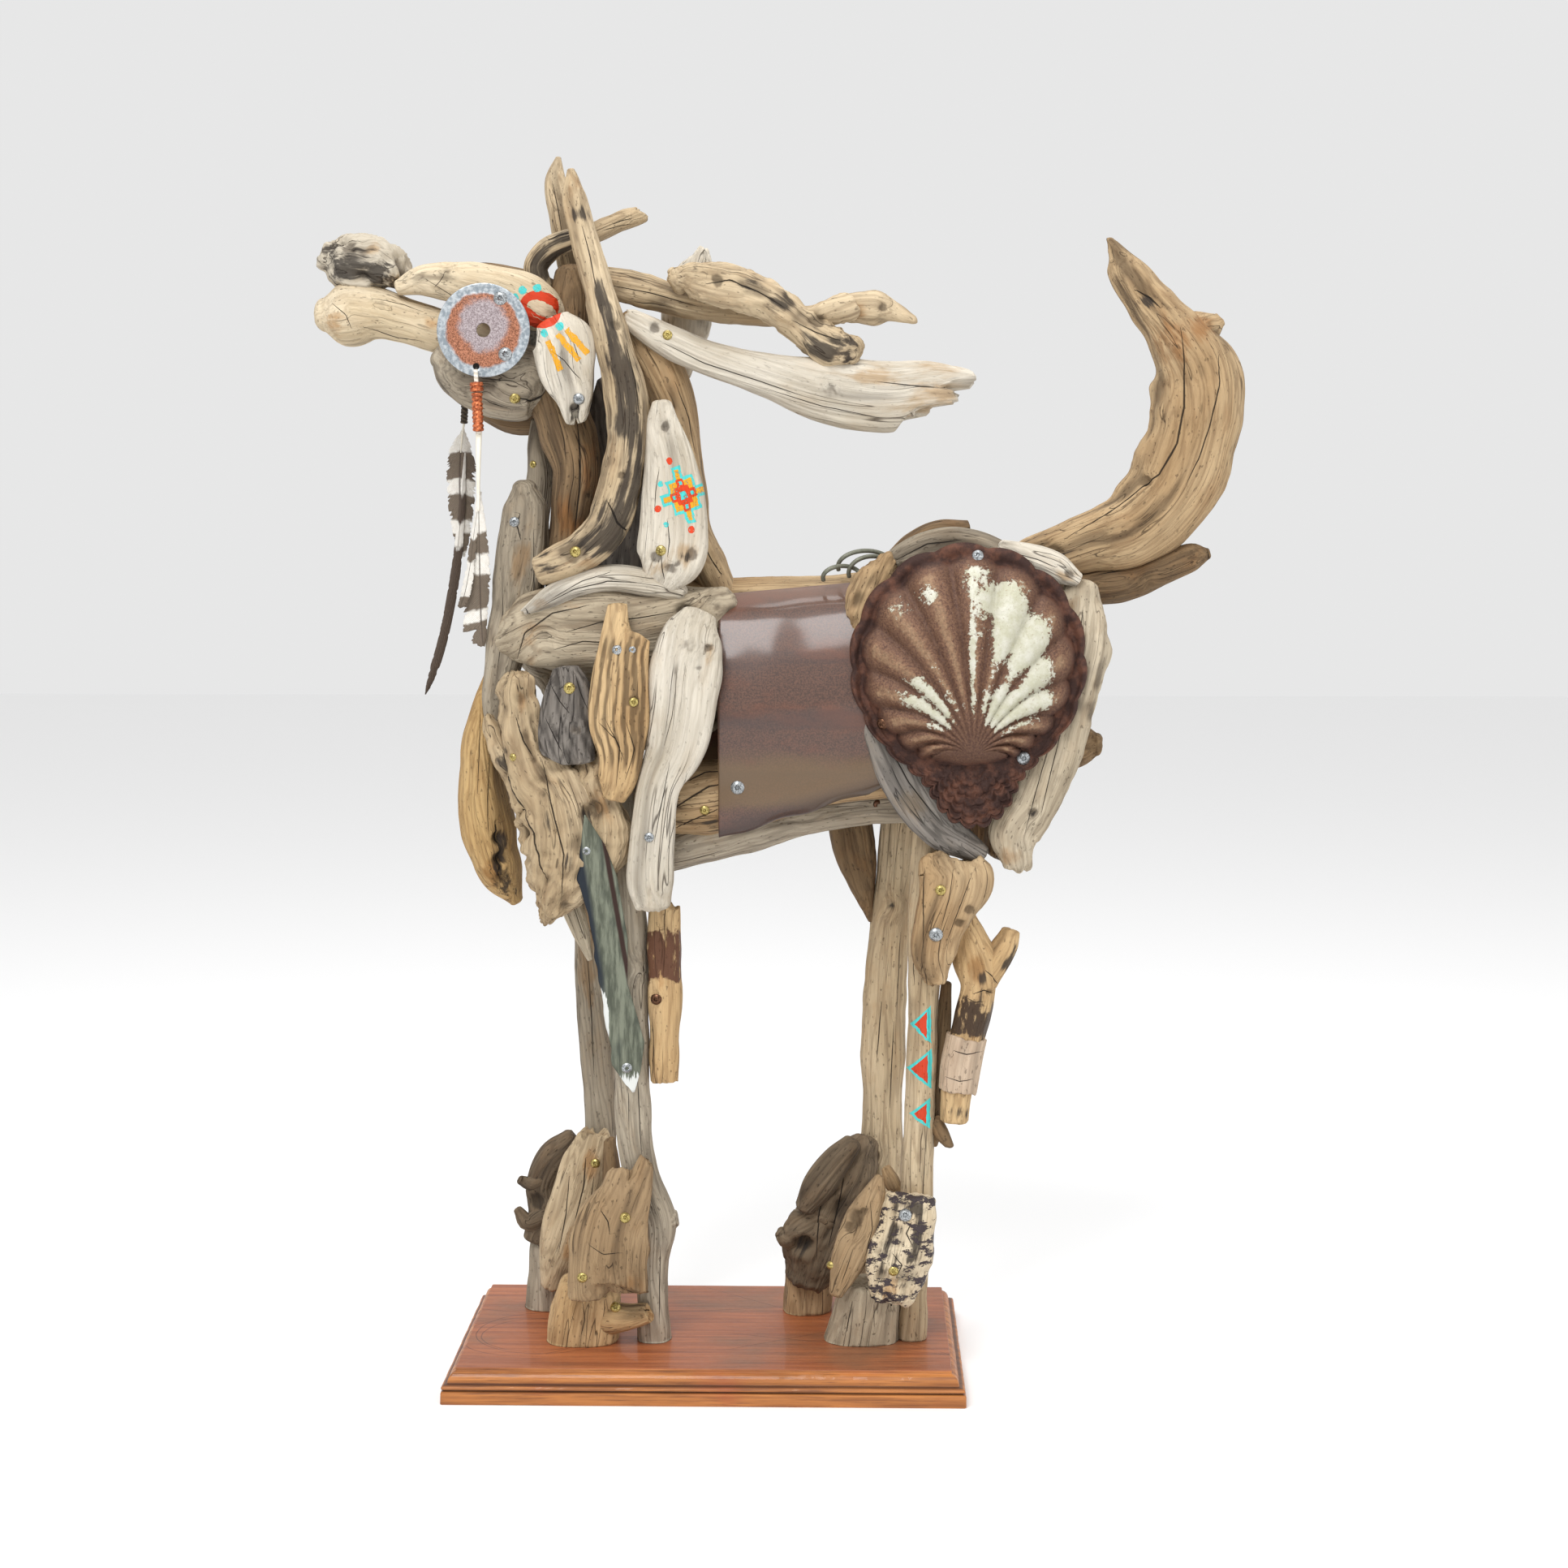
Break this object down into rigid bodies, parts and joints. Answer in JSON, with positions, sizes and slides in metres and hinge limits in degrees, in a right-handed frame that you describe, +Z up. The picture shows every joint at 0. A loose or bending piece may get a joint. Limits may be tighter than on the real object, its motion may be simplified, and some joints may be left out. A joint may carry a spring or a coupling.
{
  "type": "driftwood horse sculpture",
  "caption": "Standing horse built from driftwood sticks and planks, with found-metal eye disc, rippled barrel sheet and shell tin on the hip, screwed to a moulded wooden plinth.",
  "frame": {"origin": "middle of the plinth underside", "axes": "+Z up; the horse faces -X; -Y is its near side, with the shell tin and eye disc; +Y its far side"},
  "size_m": [0.8658, 0.3, 1.1625],
  "materials": {
    "plinth_stain": "red-brown stained and waxed hardwood, worn on the moulded edge",
    "pale_wood": "pale tan driftwood, smooth and sun-bleached",
    "tan_wood": "warm tan driftwood with open grain",
    "brown_wood": "dark brown weathered driftwood",
    "grey_wood": "silver-grey weathered driftwood",
    "dark_wood": "dark grey weathered driftwood",
    "white_wood": "bleached white driftwood",
    "yellow_wood": "yellow worm-eaten driftwood",
    "birch_bark": "cream wood with patches of black bark",
    "galvanised": "galvanised steel disc with rust in rings",
    "brown_sheet": "brown patinated rippled sheet steel, glossy",
    "rusty_tin": "rusted tin with worn cream enamel on the ribs",
    "mirror_metal": "bright torn sheet metal, mirror polished",
    "thong": "white leather thong bound with copper thread"
  },
  "bodies": {
    "root": {"plinth": "plinth_stain", "eye_disc": "galvanised", "far_eye_disc": "galvanised", "near_thong": "thong", "far_thong": "thong", "cheek_plate": "white_wood", "nose_lump": "dark_wood", "muzzle": "pale_wood", "forehead": "white_wood", "jaw": "grey_wood", "far_jaw": "brown_wood", "poll_block": "brown_wood", "ear_mane_branch": "grey_wood", "far_ear": "pale_wood", "forelock_branch": "tan_wood", "mane_gnarled_branch": "tan_wood", "mane_plank": "grey_wood", "mane_back_branch": "tan_wood", "neck_plate": "white_wood", "chest_plank": "grey_wood", "neck_front_branch": "tan_wood", "neck_back_branch": "brown_wood", "far_neck_plank": "grey_wood", "striped_plank": "tan_wood", "white_shoulder_plank": "white_wood", "grey_plank": "dark_wood", "chest_root": "pale_wood", "shoulder_plate": "grey_wood", "chest_slab": "yellow_wood", "far_shoulder_plate": "grey_wood", "shell_mould": "rusty_tin", "near_thigh_wedge": "tan_wood", "hip_plank_front": "grey_wood", "hip_plank_rear": "white_wood", "hip_crest": "grey_wood", "tail_branch": "tan_wood", "tail_stub": "brown_wood", "far_hip_board": "brown_wood", "rump_log": "brown_wood", "back_log": "tan_wood", "upper_belly_log": "pale_wood", "belly_log": "grey_wood", "body_panel": "brown_sheet", "far_body_panel": "brown_sheet", "front_leg_splint": "tan_wood", "mirror_shard": "mirror_metal", "heel_fork": "pale_wood", "near_hind_leg": "pale_wood", "far_hind_leg": "pale_wood", "far_thigh_wedge": "brown_wood", "near_front_leg": "grey_wood", "far_front_leg": "pale_wood", "near_front_hoof_plate": "brown_wood", "near_front_hoof": "pale_wood", "far_front_hoof_plank": "tan_wood", "far_front_hoof": "grey_wood", "birch_bark_chunk": "birch_bark", "near_hind_hoof": "grey_wood", "far_hind_hoof_root": "brown_wood", "far_hind_hoof": "pale_wood"}
  },
  "joints": []
}
